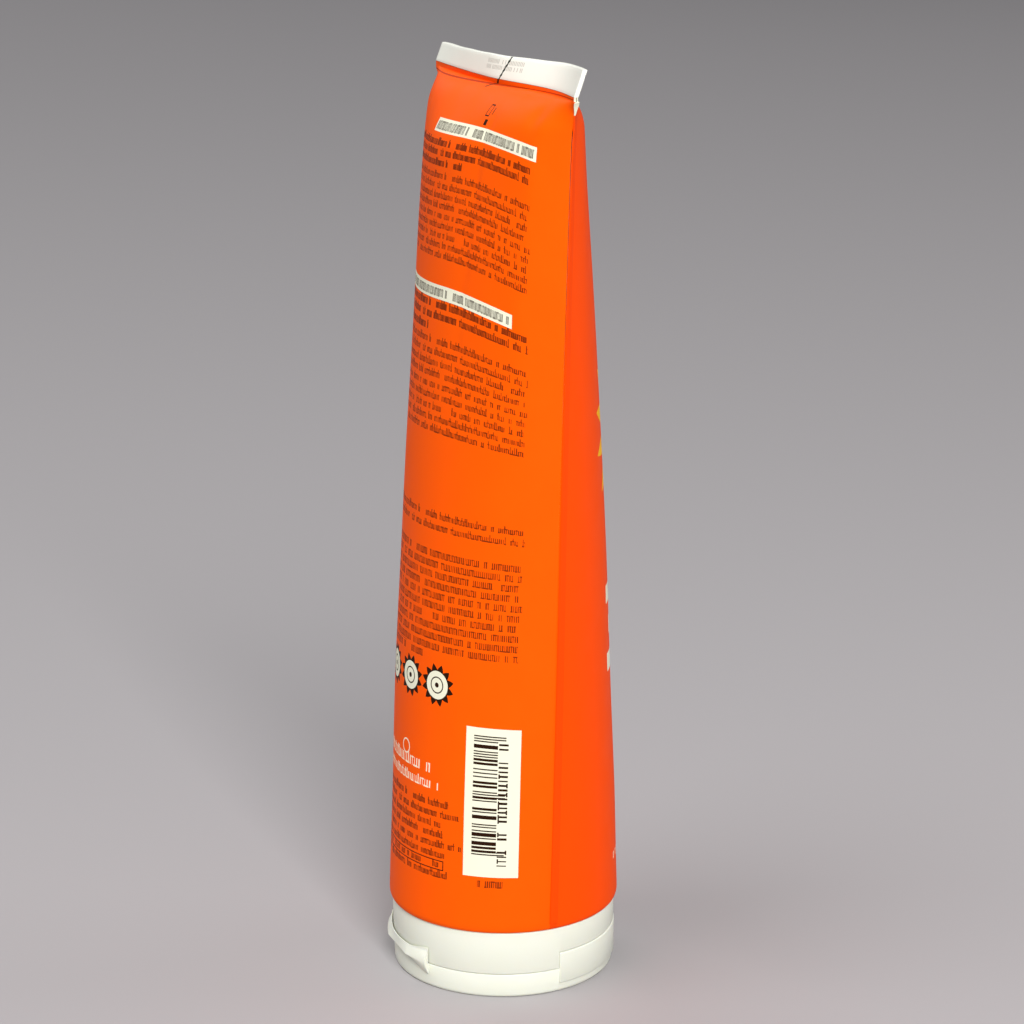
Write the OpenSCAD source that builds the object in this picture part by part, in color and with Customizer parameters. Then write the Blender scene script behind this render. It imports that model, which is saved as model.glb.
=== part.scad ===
// Squeeze tube with a crimped end, standing on its flip-top cap.
// Z points up. X runs along the crimp, the printed back of the tube faces +Y,
// and the origin is the centre of the lid's flat end, which the tube stands on.

/* [Tube] */
// Diameter of the sleeve where it is still round
tube_d = 50; // [48:0.5:52]
// Height at which the two walls of the sleeve meet
seal_z = 192; // [180:1:205]
// Height of the flat crimped band, measured along the band
seal_h = 4.9; // [4:0.1:7]
// Lean of the crimped band towards the front, in degrees
seal_lean = 20.4; // [0:0.2:24]
// Sideways wave of the crimped band
seal_wave = 1.5; // [0:0.1:2]
// How much higher the crimp's line is at +X than in its middle
seal_tilt = 0.6; // [0:0.1:1]
// Half the width of the sleeve just under the crimp, before the last pinch
pinch_w = 37; // [36:0.1:38]
// Thickness of one wall of the sleeve
wall = 0.5; // [0.4:0.1:0.7]

/* [Cap] */
// Height of the whole cap, up to the bottom edge of the sleeve
cap_h = 14.85; // [14.6:0.05:16]
// Height of the parting line between the lid and the cap's ring
lid_h = 5.5; // [5.2:0.1:5.8]
// Outer diameter of the cap's ring
ring_d = 48.6; // [48:0.1:49]
// Outer diameter of the lid at its flat end
lid_d = 48; // [47.6:0.1:48.4]
// Thickness of the moulded walls of the cap
cap_wall = 1.3; // [1.2:0.1:1.5]
// Height of the lid's raised rear panel above the parting line
panel_rise = 3.45; // [3:0.05:3.6]
// Half the arc that the rear panel covers, in degrees
panel_half = 81.5; // [60:0.5:84]
// Diameter of the hole that the lotion comes out of
orifice_d = 5.5; // [5:0.1:6]

/* [Thumb tab] */
// Half the arc that the tab covers, in degrees
tab_half = 27.5; // [20:0.5:32]
// Half the arc of the tab's straight middle, in degrees
tab_waist = 12.6; // [8:0.2:16]
// How far the tab's straight edge stands from the tube's axis
tab_edge = 25.55; // [25.2:0.05:26]
// How far the ribs at the tab's ends stand proud of the ring
tab_rib = 1.35; // [1:0.05:1.6]

/* [Hidden] */
$fn = 120;

print_orange = "#F4600A";
cap_white = "#F4F3EA";
head_white = "#EDEBE2";
lotion_cream = "#F6EFD9";

tube_r = tube_d / 2;
ring_r = ring_d / 2;
lid_r = lid_d / 2;
// The sheet does not stretch, so the flat crimp is half the sleeve's round as wide.
seal_w = PI * tube_d / 4;
sleeve_z = cap_h + 0.05;
// Below this height the sleeve is a plain cylinder.
round_z = 16;
// The sleeve's bottom edge is rolled in over the shoulder.
edge_in = 0.65;
edge_h = 1.6;
// A high power keeps the last pinch within a few millimetres of the crimp.
pinch_power = 60;
wave_power = 24;
// The wave is shorter on the seam's side of its crest than on the other.
wave_near = 56.6;
wave_far = 129.5;
wave_shift = 4.6;
// The band was cut level, so it is lower where the crimp's line is higher.
seal_trim = 0.7;
arc_steps = 24;
seam_w = 0.9;
seam_t = 0.12;
fill_gap = 0.4;
fill_top = 178;

gap = 0.2;
// Small step that keeps two walls of a cap part from sharing one face.
step = 0.1;
lid_top = lid_h - gap;
disc_t = 1.3;
lid_mouth_r = ring_r + gap / 2 - cap_wall - 0.2;
rim_r = lid_mouth_r - 0.3;
core_r = rim_r - cap_wall + 0.1;
rim_z = lid_h - 1.1;
deck_t = 1.4;
deck_z = lid_h + deck_t;
core_z = 10.4;
panel_r = ring_r + 0.2;
panel_z = 2.05;
panel_top = lid_h + panel_rise;
hinge_z = panel_top + gap / 2;
hinge_y = -(ring_r - 0.8);
flat_half_h = 2.9;
web_w = 12;
web_t = 0.4;
web_h = 2.8;

neck_r = 9.2;
neck_bore_r = 7.6;
neck_hole_r = 3.5;
bead_r = neck_r + 0.5;
bead_z = 8.2;
bead_h = 1.2;
collar_r = neck_r + 1.5;
collar_z = 12;
neck_z = 12.2;
neck_top = 13.9;
spout_z = 2.6;
spout_r = 4.6;
orifice_r = orifice_d / 2;
plug_r = orifice_r - 0.5;
plug_z = 4.5;
rib_count = 6;
rib_t = 1;

// Angle a, in radians, for which sin(a) / a equals x.
function arc_angle(x, a, n = 7) =
    n == 0 ? a :
    let (s = sin(a * 180 / PI), c = cos(a * 180 / PI))
    arc_angle(x, a - (s / a - x) * a * a / (a * c - s), n - 1);

// Half the sleeve's width at a height: it grows evenly, then pinches into the crimp.
function half_width(z) =
    let (u = max(0, (z - round_z) / (seal_z - round_z)))
    tube_r + (pinch_w - tube_r) * u + (seal_w - 0.005 - pinch_w) * pow(u, pinch_power);

// Half angle, in degrees, of the two arcs that make the section at a height.
function half_angle(z) =
    let (x = half_width(z) / seal_w)
    arc_angle(x, sqrt(6 * (1 - x))) * 180 / PI;

// 1 at the crimp, and less and less below it.
function fade(z) = pow(max(0, min(1, (z - round_z) / (seal_z - round_z))), wave_power);

// Sideways wave of the walls, which fades out below the crimp.
function wave(x, z) =
    seal_wave * cos(360 * (x - wave_shift) / (x < wave_shift ? wave_near : wave_far)) * fade(z);

function waved(x, y, z) = [x, y + wave(x, z), z + seal_tilt * x / seal_w * fade(z)];

// How far the sleeve's bottom edge is rolled in at a height.
function edge_inset(z) =
    let (d = min(1, max(0, (sleeve_z + edge_h - z) / edge_h)))
    edge_in * (1 - sqrt(1 - d * d));

// One closed ring of the lens-shaped section, drawn inside the sheet by inset.
function lens_ring(z, inset) =
    let (
        a = half_angle(z),
        r = seal_w / (a * PI / 180),
        centre = r * cos(a),
        ri = r - inset,
        ai = acos(min(1, centre / ri))
    )
    [
        for (i = [0:arc_steps - 1])
            let (b = ai - 2 * ai * i / arc_steps)
            waved(ri * sin(b), ri * cos(b) - centre, z),
        for (i = [0:arc_steps - 1])
            let (b = ai - 2 * ai * i / arc_steps)
            waved(-ri * sin(b), centre - ri * cos(b), z),
    ];

// Triangles between two rings of n points that start at a and b, from the lower to the upper.
function band(a, b, n) = [
    for (i = [0:n - 1])
        let (j = (i + 1) % n)
        each [[a + i, b + i, b + j], [a + i, b + j, a + j]],
];

// Faces that close a ring: a ladder across a thin section, or a fan from its first point.
function ladder(a, n) = [for (i = [0:n / 2 - 2]) [a + i, a + i + 1, a + n - 2 - i, a + n - 1 - i]];
function fan(a, n) = [for (i = [1:n - 2]) [a, a + i, a + i + 1]];
function flipped(faces) = [for (f = faces) [for (k = [len(f) - 1:-1:0]) f[k]]];

// Solid through a list of rings, all with n points, which run anticlockwise as seen from the last.
module loft(rings, n, fanned = false) {
    last = (len(rings) - 1) * n;
    polyhedron(
        points = [for (ring = rings) each ring],
        faces = [
            each flipped(fanned ? fan(last, n) : ladder(last, n)),
            for (k = [0:len(rings) - 2]) each band(k * n, (k + 1) * n, n),
            each fanned ? fan(0, n) : ladder(0, n),
        ],
        convexity = 4
    );
}

// Solid between an outer and an inner list of rings, open at the bottom.
module loft_shell(outer, inner, n) {
    no = len(outer);
    ni = len(inner);
    polyhedron(
        points = [for (ring = outer) each ring, for (ring = inner) each ring],
        faces = [
            each flipped(ladder((no - 1) * n, n)),
            for (k = [0:no - 2]) each band(k * n, (k + 1) * n, n),
            each band(no * n, 0, n),
            for (k = [0:ni - 2]) each band((no + k + 1) * n, (no + k) * n, n),
            each ladder((no + ni - 1) * n, n),
        ],
        convexity = 6
    );
}

ring_n = 2 * arc_steps;
straight_steps = 11;
pinch_steps = 8;
pinch_h = 12;
edge_heights = [for (a = [0:22.5:90]) sleeve_z + edge_h * (1 - cos(a))];
straight_heights = [
    for (k = [1:straight_steps])
        sleeve_z + edge_h + (seal_z - pinch_h - sleeve_z - edge_h) * k / straight_steps,
];
pinch_heights = [for (k = [1:pinch_steps]) seal_z - pinch_h * pow(1 - k / pinch_steps, 2)];
sleeve_heights = concat(edge_heights, straight_heights, pinch_heights);
// The inside stops where the two walls come together.
inner_heights = [for (z = sleeve_heights) if (z < seal_z - 0.5) z];

module tube_sleeve() {
    color(print_orange)
        loft_shell(
            [for (z = sleeve_heights) lens_ring(z, edge_inset(z))],
            [for (z = inner_heights) lens_ring(z, wall + edge_inset(z))],
            ring_n
        );
}

// Six points round the seam's strip: it folds round the sleeve's edge at -X.
function seam_ring(z) =
    let (
        a = half_angle(z),
        r = seal_w / (a * PI / 180),
        centre = r * cos(a),
        tip = r * sin(a),
        b = a - seam_w / seal_w * a,
        side_x = -r * sin(b),
        side_y = r * cos(b) - centre,
        out_x = -(r + seam_t) * sin(b),
        out_y = (r + seam_t) * cos(b) - centre
    )
    [
        waved(out_x, out_y, z), waved(-tip - seam_t, 0, z), waved(out_x, -out_y, z),
        waved(side_x, -side_y, z), waved(-tip, 0, z), waved(side_x, side_y, z),
    ];

module side_seam() {
    heights = [for (z = sleeve_heights) if (z > sleeve_z + edge_h - 0.01 && z < seal_z - 1) z];
    color(print_orange)
        loft([for (z = heights) seam_ring(z)], 6);
}

// One cut across the crimped band: it leans about the line where the walls meet.
function seal_ring(x) =
    let (
        h = seal_h - seal_trim * x / seal_w,
        low = seal_z + seal_tilt * x / seal_w,
        high = low + h * cos(seal_lean),
        back = -h * sin(seal_lean),
        y = wave(x, seal_z),
        half = wall * 0.98
    )
    [
        [x, y - half, low], [x, y + half, low],
        [x, y * 1.4 + back + half, high], [x, y * 1.4 + back - half, high],
    ];

module crimp_seal() {
    steps = 26;
    color(cap_white)
        loft([for (k = [0:steps]) seal_ring(2 * seal_w * k / steps - seal_w)], 4);
}

// Moulded head of the tube: the sleeve is welded round its rim.
module tube_shoulder() {
    rim_in = tube_r - wall - 0.05;
    color(head_white)
        rotate_extrude()
            polygon([
                [neck_r, neck_z], [rim_in - edge_in - 0.8, cap_h + 0.1],
                [rim_in - edge_in, cap_h + 0.1], [rim_in, sleeve_z + edge_h],
                [rim_in, sleeve_z + edge_h + 2], [rim_in - 1.2, sleeve_z + edge_h + 2],
                [rim_in - 1.6, sleeve_z + edge_h + 0.2], [neck_r, neck_top],
            ]);
}

module tube_neck() {
    color(head_white)
        rotate_extrude()
            polygon([
                [neck_hole_r, deck_z], [neck_r, deck_z], [neck_r, bead_z], [bead_r, bead_z + 0.3],
                [bead_r, bead_z + bead_h], [neck_r, bead_z + bead_h], [neck_r, neck_top],
                [neck_bore_r, neck_top], [neck_bore_r, deck_z + 1.1], [neck_hole_r, deck_z + 1.1],
            ]);
}

module lotion_fill() {
    bottom = sleeve_z + edge_h + 2.2;
    steps = 12;
    color(lotion_cream)
        loft(
            [for (k = [0:steps]) lens_ring(bottom + (fill_top - bottom) * k / steps, wall + fill_gap)],
            ring_n
        );
}

// Sector of a ring, centred on -Y, between two radii and two heights.
module rear_sector(half, r1, r2, z1, z2) {
    rotate([0, 0, -90 - half])
        rotate_extrude(angle = 2 * half)
            polygon([[r1, z1], [r2, z1], [r2, z2], [r1, z2]]);
}

// Block that cuts the flat which carries the hinge's web.
module hinge_flat() {
    translate([-ring_r, hinge_y - 4, hinge_z - flat_half_h])
        cube([ring_d, 4, 2 * flat_half_h]);
}

module cap_ring() {
    color(cap_white)
        difference() {
            rotate_extrude()
                polygon([
                    [core_r, rim_z], [rim_r, rim_z], [rim_r, lid_h], [ring_r - 0.05, lid_h],
                    [ring_r, cap_h - 0.3], [ring_r - 0.3, cap_h], [ring_r - cap_wall, cap_h],
                    [ring_r - cap_wall, core_z], [core_r, core_z],
                ]);
            rear_sector(panel_half + 0.7, rim_r + step, ring_r + 2, lid_h - step, panel_top + gap);
            hinge_flat();
        }
}

module cap_deck() {
    color(cap_white)
        rotate_extrude()
            polygon([[spout_r, lid_h], [core_r, lid_h], [core_r, deck_z], [spout_r, deck_z]]);
}

// Inner collar: its groove snaps over the bead on the tube's neck.
module cap_collar() {
    color(cap_white)
        rotate_extrude()
            polygon([
                [neck_r, deck_z], [collar_r, deck_z], [collar_r, collar_z],
                [neck_r + 0.3, collar_z], [neck_r, collar_z - 0.5], [neck_r, bead_z + bead_h],
                [bead_r, bead_z + bead_h], [bead_r, bead_z + 0.3], [neck_r, bead_z],
            ]);
}

module cap_ribs() {
    color(cap_white)
        for (k = [0:rib_count - 1])
            rotate([0, 0, k * 360 / rib_count])
                intersection() {
                    difference() {
                        translate([0, 0, deck_z]) cylinder(r = core_r, h = core_z - deck_z);
                        translate([0, 0, deck_z - 1]) cylinder(r = collar_r, h = core_z);
                    }
                    translate([collar_r - 2, -rib_t / 2, deck_z])
                        cube([core_r, rib_t, core_z - deck_z]);
                }
}

module cap_spout() {
    color(cap_white)
        rotate_extrude()
            polygon([
                [orifice_r, spout_z], [orifice_r + 1, spout_z], [spout_r - 0.5, spout_z + 0.4],
                [spout_r, lid_h - 0.4], [spout_r, deck_z], [orifice_r, deck_z],
            ]);
}

// Thin web that joins the lid to the ring and bends as the lid opens.
module hinge_web() {
    color(cap_white)
        translate([-web_w / 2, hinge_y - web_t, hinge_z - web_h / 2])
            cube([web_w, web_t, web_h]);
}

module lid_disc() {
    color(cap_white)
        rotate_extrude()
            polygon([
                [0, 0], [lid_r - 0.6, 0], [lid_r - 0.15, 0.2], [lid_r, 0.6],
                [lid_r + 0.03, disc_t], [0, disc_t],
            ]);
}

// Wall of the lid: its rear panel stands higher and carries the hinge.
module lid_skirt() {
    color(cap_white)
        difference() {
            union() {
                rotate_extrude()
                    polygon([
                        [lid_mouth_r, disc_t], [lid_r + 0.03, disc_t],
                        [ring_r - 0.1, lid_top - 0.25], [ring_r - 0.35, lid_top],
                        [lid_mouth_r, lid_top],
                    ]);
                rear_sector(panel_half, lid_mouth_r + step, panel_r, panel_z, panel_top);
            }
            hinge_flat();
        }
}

module lid_plug() {
    color(cap_white)
        rotate_extrude()
            polygon([
                [plug_r - 0.9, disc_t], [plug_r + 0.15, disc_t], [plug_r, plug_z - 0.4],
                [plug_r - 0.3, plug_z], [plug_r - 0.9, plug_z],
            ]);
}

// How far a place on the tab is from its straight middle, from 0 to 1 at the end ribs.
function tab_end(phi) =
    let (e = max(0, (abs(phi) - tab_waist) / (tab_half - tab_waist)))
    e * e * (3 - 2 * e);

tab_root = ring_r - 0.2;
tab_clear = ring_r + 0.25;
tab_profile_steps = 8;

// One cut through the tab: bow-tie shaped, low and sharp in the middle, tall at its ends.
// It starts at the inner corner, from which all its other points can be seen.
function tab_ring(phi) =
    let (
        e = tab_end(phi),
        low = -0.9 - 1.7 * e,
        high = 2.35 + 1.15 * e,
        edge_v = (0.35 - low) / (high - low),
        edge_r = min(tab_edge / cos(phi), tab_edge / cos(tab_waist))
    )
    [
        [tab_clear * sin(phi), tab_clear * cos(phi), lid_top],
        [tab_root * sin(phi), tab_root * cos(phi), lid_top],
        for (k = [0:tab_profile_steps])
            let (
                v = k / tab_profile_steps,
                z = low + (high - low) * v,
                skin = z < 0.1 ? tab_root : tab_clear + 0.15,
                lip = v < edge_v
                    ? tab_root + (edge_r - tab_root) * v / edge_v
                    : edge_r + (tab_clear + 0.15 - edge_r) * (v - edge_v) / (1 - edge_v),
                rib = ring_r + tab_rib * sin(180 * min(1, max(0, v))),
                r = max(skin + 0.02, lip * (1 - e) + rib * e)
            )
            [r * sin(phi), r * cos(phi), lid_h + z],
        [tab_clear * sin(phi), tab_clear * cos(phi), lid_h + high],
    ];

module thumb_tab() {
    steps = 30;
    color(cap_white)
        loft(
            [for (k = [0:steps]) tab_ring(2 * tab_half * k / steps - tab_half)],
            tab_profile_steps + 4,
            fanned = true
        );
}

tube_sleeve();
side_seam();
crimp_seal();
tube_shoulder();
tube_neck();
lotion_fill();
cap_ring();
cap_deck();
cap_collar();
cap_ribs();
cap_spout();
hinge_web();
lid_disc();
lid_skirt();
lid_plug();
thumb_tab();
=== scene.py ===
# %% [markdown]
# A squeeze tube, crimped at one end, stands on its wide flip-top cap.
# The solids come from the CAD frame, and every visible surface is made again here with
# finer shape, softer edges and the finish of the real material. All lengths are written
# in millimetres and multiplied by MM, because Blender works in metres.

# %% Tools and the frame
import math

import bpy
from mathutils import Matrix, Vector


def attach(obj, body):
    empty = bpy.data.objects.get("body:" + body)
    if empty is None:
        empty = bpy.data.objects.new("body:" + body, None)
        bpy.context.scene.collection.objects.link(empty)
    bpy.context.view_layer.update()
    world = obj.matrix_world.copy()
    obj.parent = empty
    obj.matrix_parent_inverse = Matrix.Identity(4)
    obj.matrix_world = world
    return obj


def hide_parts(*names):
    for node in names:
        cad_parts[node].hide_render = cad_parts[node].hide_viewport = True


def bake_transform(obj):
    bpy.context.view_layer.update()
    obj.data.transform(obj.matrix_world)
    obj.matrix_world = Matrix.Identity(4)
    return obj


MM = 0.001
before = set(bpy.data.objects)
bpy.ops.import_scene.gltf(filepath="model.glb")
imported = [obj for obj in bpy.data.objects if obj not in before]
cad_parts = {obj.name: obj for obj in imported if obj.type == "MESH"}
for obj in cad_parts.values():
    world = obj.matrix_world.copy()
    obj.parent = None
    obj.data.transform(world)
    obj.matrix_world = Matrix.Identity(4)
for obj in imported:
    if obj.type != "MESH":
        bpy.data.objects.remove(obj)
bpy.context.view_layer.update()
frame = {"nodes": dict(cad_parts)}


# %% [markdown]
# A few small helpers are used all the way through. An operator acts on whatever is
# selected, and the CAD nodes come in selected, so each step first clears the selection.
# Every piece starts as a plane, a cube or a grid, whose points are then given their place.


# %% Helpers for modelling
def start_clean():
    if bpy.context.mode != "OBJECT":
        bpy.ops.object.mode_set(mode="OBJECT")
    bpy.ops.object.select_all(action="DESELECT")


def take(piece):
    """Makes one piece the only selected and active one."""
    start_clean()
    piece.select_set(True)
    bpy.context.view_layer.objects.active = piece


def named(name):
    """The piece that was just added, under its own name."""
    piece = bpy.context.active_object
    piece.name = name
    return piece


def grid(name, columns, rows):
    """A flat grid with so many columns and rows of faces, to be carried to its shape."""
    start_clean()
    bpy.ops.mesh.primitive_grid_add(x_subdivisions=columns, y_subdivisions=rows, size=1, calc_uvs=True)
    return named(name)


def cell(vertex, columns, rows):
    """The column and the row of a grid's point."""
    return round((vertex.co.x + 0.5) * columns), round((vertex.co.y + 0.5) * rows)


def cube(name):
    start_clean()
    bpy.ops.mesh.primitive_cube_add(size=1, location=(0, 0, 0))
    return named(name)


def apply_modifier(piece, kind, **settings):
    take(piece)
    modifier = piece.modifiers.new(kind.title(), kind)
    for name, value in settings.items():
        setattr(modifier, name, value)
    bpy.ops.object.modifier_apply(modifier=modifier.name)


def tidy_mesh(piece, smooth_angle=35):
    """Merges double points, turns the faces outwards and smooths the round surfaces."""
    take(piece)
    bpy.ops.object.mode_set(mode="EDIT")
    bpy.ops.mesh.select_all(action="SELECT")
    bpy.ops.mesh.remove_doubles(threshold=0.002 * MM)
    bpy.ops.mesh.normals_make_consistent(inside=False)
    bpy.ops.object.mode_set(mode="OBJECT")
    bpy.ops.object.shade_smooth_by_angle(angle=math.radians(smooth_angle))
    piece.data.calc_loop_triangles()
    print(piece.name, "has", len(piece.data.loop_triangles), "triangles")


def settle(piece, body, slot, *nodes):
    """The piece moves with a body and stands for some CAD nodes, which it hides. The slot is not used.
    """
    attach(piece, body)
    if nodes:
        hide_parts(*nodes)


# %% [markdown]
# The photograph was taken from behind and a little above, about half a metre away. The
# camera's place, tilt and focal length were worked out from the outlines of the tube.
# The lens is long, so the upright edges stay almost straight.

# %% Camera
camera_place = Vector((-504.35, 196.61, 239.12)) * MM
camera_ahead = Vector((0.9014, -0.3551, -0.2478))
camera_lens = 92.46
sensor_width = 36

camera_data = bpy.data.cameras.new("Camera")
camera_data.lens = camera_lens
camera_data.sensor_width = sensor_width
camera_data.clip_start = 0.02
camera = bpy.data.objects.new("Camera", camera_data)
bpy.context.scene.collection.objects.link(camera)
camera.location = camera_place
camera.rotation_euler = camera_ahead.to_track_quat("-Z", "Y").to_euler()
bpy.context.scene.camera = camera
bpy.context.scene.view_settings.view_transform = "Standard"
print("Camera is", round(camera_place.length / MM), "mm from the foot of the tube")


# %% [markdown]
# A colour is given as an sRGB hex value, and a shader works in linear light, so one
# function turns the first into the second. Another adds a node to a material with its
# settings and links. A third starts a material from its main numbers, and a fourth gives a
# surface its fine relief. The two kinds of node that are used most get short names.


# %% Helpers for materials
MATH = "ShaderNodeMath"
VECTOR = "ShaderNodeVectorMath"


def linear(hex_colour):
    """Turns an sRGB hex colour into linear RGBA."""
    channels = [int(hex_colour[i : i + 2], 16) / 255 for i in (1, 3, 5)]
    return [c / 12.92 if c <= 0.04045 else ((c + 0.055) / 1.055) ** 2.4 for c in channels] + [1.0]


def add(tree, kind, inputs=(), **settings):
    """
    Adds a node. Its inputs come in a dictionary by name, or in a list in the node's own
    order. One that is a node or a socket is linked, and any other is set as a value.
    """
    node = tree.nodes.new(kind)
    for name, value in settings.items():
        setattr(node, name, value)
    for name, value in inputs.items() if isinstance(inputs, dict) else enumerate(inputs):
        if isinstance(value, bpy.types.Node):
            value = next(out for out in value.outputs if not out.is_unavailable)
        if isinstance(value, bpy.types.NodeSocket):
            tree.links.new(value, node.inputs[name])
        else:
            node.inputs[name].default_value = value
    return node


def material(name, colour, roughness, ior=1.5, **numbers):
    """Starts a material. The numbers that are the same all over sit on the shader itself."""
    made = bpy.data.materials.new(name)
    made.use_nodes = True
    shader = made.node_tree.nodes["Principled BSDF"]
    shader.inputs["Base Color"].default_value = linear(colour)
    shader.inputs["Roughness"].default_value = roughness
    shader.inputs["IOR"].default_value = ior
    for socket, value in numbers.items():
        shader.inputs[socket.replace("_", " ")].default_value = value
    return made, made.node_tree, shader


def roughen(tree, shader, size, depth, strength, detail=2.0, distortion=0.0):
    """Gives a surface a relief of noise, with the size and the depth of its grain in mm."""
    place = add(tree, "ShaderNodeTexCoord").outputs["Object"]
    noise = {"Vector": place, "Scale": 1 / (size * MM), "Detail": detail, "Distortion": distortion}
    noise = add(tree, "ShaderNodeTexNoise", noise)
    bump = {"Height": noise.outputs["Fac"], "Strength": strength, "Distance": depth * MM}
    bump = add(tree, "ShaderNodeBump", bump)
    tree.links.new(bump.outputs["Normal"], shader.inputs["Normal"])


def wear(piece, made):
    """Gives every face of a piece one material."""
    piece.data.materials.clear()
    piece.data.materials.append(made)


# %% [markdown]
# The tube is photographed on a plain surface under soft light. A very large pale plane
# serves as the floor, and its colour is even apart from a faint paper grain.

# %% Floor
start_clean()
bpy.ops.mesh.primitive_plane_add(size=14, location=(0, 0, 0))
floor = named("floor")
floor_paint, tree, shader = material("paper sweep, matt", "#A8A4A5", 0.85)
roughen(tree, shader, size=1.5, depth=0.1, strength=0.05, detail=3.0)
wear(floor, floor_paint)
print("Floor is ready")


# %% [markdown]
# The light in the photograph is soft and comes from above the camera, a little to its
# right: the panel beside the seam is brightest and the far left side falls off. One large
# key light does that. A wide light high on the left brightens the crimp, which leans back
# to it, and two far ones soften the sides that the photograph doesn't show.


# %% Lights
def area_light(name, azimuth, elevation, distance, width, power):
    """A square soft light that faces the middle of the tube from a bearing in degrees."""
    a = math.radians(azimuth)
    e = math.radians(elevation)
    away = Vector((math.sin(a) * math.cos(e), -math.cos(a) * math.cos(e), math.sin(e)))
    data = bpy.data.lights.new(name, "AREA")
    data.energy = power
    data.size = width
    lamp = bpy.data.objects.new(name, data)
    bpy.context.scene.collection.objects.link(lamp)
    lamp.location = Vector((0, 0, 100 * MM)) + away * distance
    lamp.rotation_euler = (-away).to_track_quat("-Z", "Y").to_euler()


camera_bearing = 248.5
# Each light: name, bearing from the camera's, elevation, distance and width in m, power in W.
for name, turn, *numbers in (
    ("key light", 12, 34, 1.5, 0.6, 24),
    ("back fill", -62, 62, 3.0, 1.6, 34),
    ("side fill", 100, 30, 6.0, 3.0, 45),
    ("far fill", 215, 35, 6.0, 3.0, 60),
):
    area_light(name, camera_bearing + turn, *numbers)

world = bpy.data.worlds.new("soft room")
bpy.context.scene.world = world
world.use_nodes = True
background = world.node_tree.nodes["Background"]
background.inputs["Color"].default_value = linear("#E9EAEE")
background.inputs["Strength"].default_value = 0.30
print("Lights are ready")


# %% [markdown]
# The sleeve was once a flat printed sheet. It is rolled into a tube, welded along one
# side, pushed over the round head of the tube at one end and pressed flat at the other.
# The sheet can't stretch, so its round stays the same at every height: there the section
# is two equal arcs that meet at the two sides, wide and thin near the crimp and a full
# circle near the cap. These numbers and functions give that section.

# %% Shape of the sleeve
tube_r = 25.0
half_round = math.pi * tube_r
seal_w = half_round / 2
round_z = 16.0
sleeve_z = 14.9
seal_z = 192.0
# The jaws that press the crimp reach a little below the edge of the print.
jaw_z = 191.1
pinch_w = 37.0
pinch_power = 60
wall = 0.5
edge_in = 0.65
edge_h = 1.6
seal_wave = 1.5
wave_power = 24
# The wave is shorter on the seam's side of its crest than on the other.
wave_near = 56.6
wave_far = 129.5
wave_shift = 4.6
seal_tilt = 0.6
press_half = 0.48
press_h = 4.0


def half_width(z):
    """Half the width of the section: it grows evenly, then pinches into the crimp."""
    u = min(1.0, max(0.0, (z - round_z) / (jaw_z - round_z)))
    return tube_r + (pinch_w - tube_r) * u + (seal_w - 0.005 - pinch_w) * u**pinch_power


def half_angle(z):
    """Half angle of the two arcs, found by a few steps of Newton's method."""
    x = half_width(z) / seal_w
    a = math.sqrt(6 * (1 - x))
    for _ in range(8):
        s, c = math.sin(a), math.cos(a)
        a -= (s / a - x) * a * a / (a * c - s)
    return a


def crimped(x, y, z):
    """Carries a point sideways by the crimp's wave and up by its tilt, both fading out below it."""
    fade = min(1.0, max(0.0, (z - round_z) / (seal_z - round_z))) ** wave_power
    length = wave_near if x < wave_shift else wave_far
    bend = seal_wave * math.cos(2 * math.pi * (x - wave_shift) / length)
    return x, y + bend * fade, z + seal_tilt * x / seal_w * fade


def smooth_step(low, high, value):
    t = min(1.0, max(0.0, (value - low) / (high - low)))
    return t * t * (3 - 2 * t)


print("Half width at 110 mm:", round(half_width(110), 2), "and half angle:", round(half_angle(110), 3))


# %% [markdown]
# Near the crimp the stiff sheet won't curve all the way to its sides. It stays flat for
# some 8 mm beside the side fold and then turns quite suddenly, which the photograph shows
# as a bright flat panel beside the seam that ends in a soft crease and fades downwards.
# The relief below lifts that crease out of the even arc, strongest on the seam's side of
# the back. It also adds a shallow dent where the crease runs out under the crimp, and the
# broad, barely visible unevenness of a filled tube. Just under the crimp the middle of the
# sheet stays flatter than an even arc, so that its face slopes out more like a wedge.

# %% Relief of the sleeve
crease_at = 7.0
crease_spread = 0.055
crease_round = 1.6
crease_reach = 15.0
crease_h = 1.8
weak_crease = 0.35
crease_foot = (95.0, 172.0)
crease_top = (184.5, 190.5)
flat_share = 0.4
flat_low = 178.0
flat_high = 192.5
dent_h = 0.55
dent_s = 9.0
dent_z = 187.0
dent_w = 1.9
dent_tall = 2.6
slow_h = 0.10
quick_h = 0.06
uneven_foot = (22, 45)
uneven_top = (176, 189)
uneven_side = (0, 8)


def crease(near, z):
    """Height of the crease's roof, which rises evenly from the side fold and falls slowly behind."""
    top = crease_at + crease_spread * (190 - z)
    rise = near / top
    fall = 1 - (near - top) / crease_reach
    # A soft minimum rounds the roof's ridge.
    ridge = 0.5 * (rise + fall - math.hypot(rise - fall, crease_round / top))
    return max(0.0, ridge + 0.5 * crease_round / top) if near < top + crease_reach else 0.0


def relief(s, z, back):
    """How far, in mm, the sheet stands out at a distance s from the seam's side fold."""
    fade = smooth_step(*crease_foot, z) * (1 - smooth_step(*crease_top, z))
    near_side = crease(s, z) * (1.0 if back else weak_crease)
    far_side = crease(half_round - s, z) * weak_crease
    slow = slow_h * math.sin(z / 17 + 0.6) * math.sin(s / 11) + quick_h * math.sin(z / 9 + s / 7)
    calm = smooth_step(*uneven_foot, z) * (1 - smooth_step(*uneven_top, z))
    edge = smooth_step(*uneven_side, min(s, half_round - s))
    dent_gap = math.hypot((s - dent_s) / dent_w, (z - dent_z) / dent_tall)
    dent = math.exp(-(dent_gap**2)) if back else 0.0
    return crease_h * fade * max(near_side, far_side) + slow * calm * edge - dent_h * dent


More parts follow.
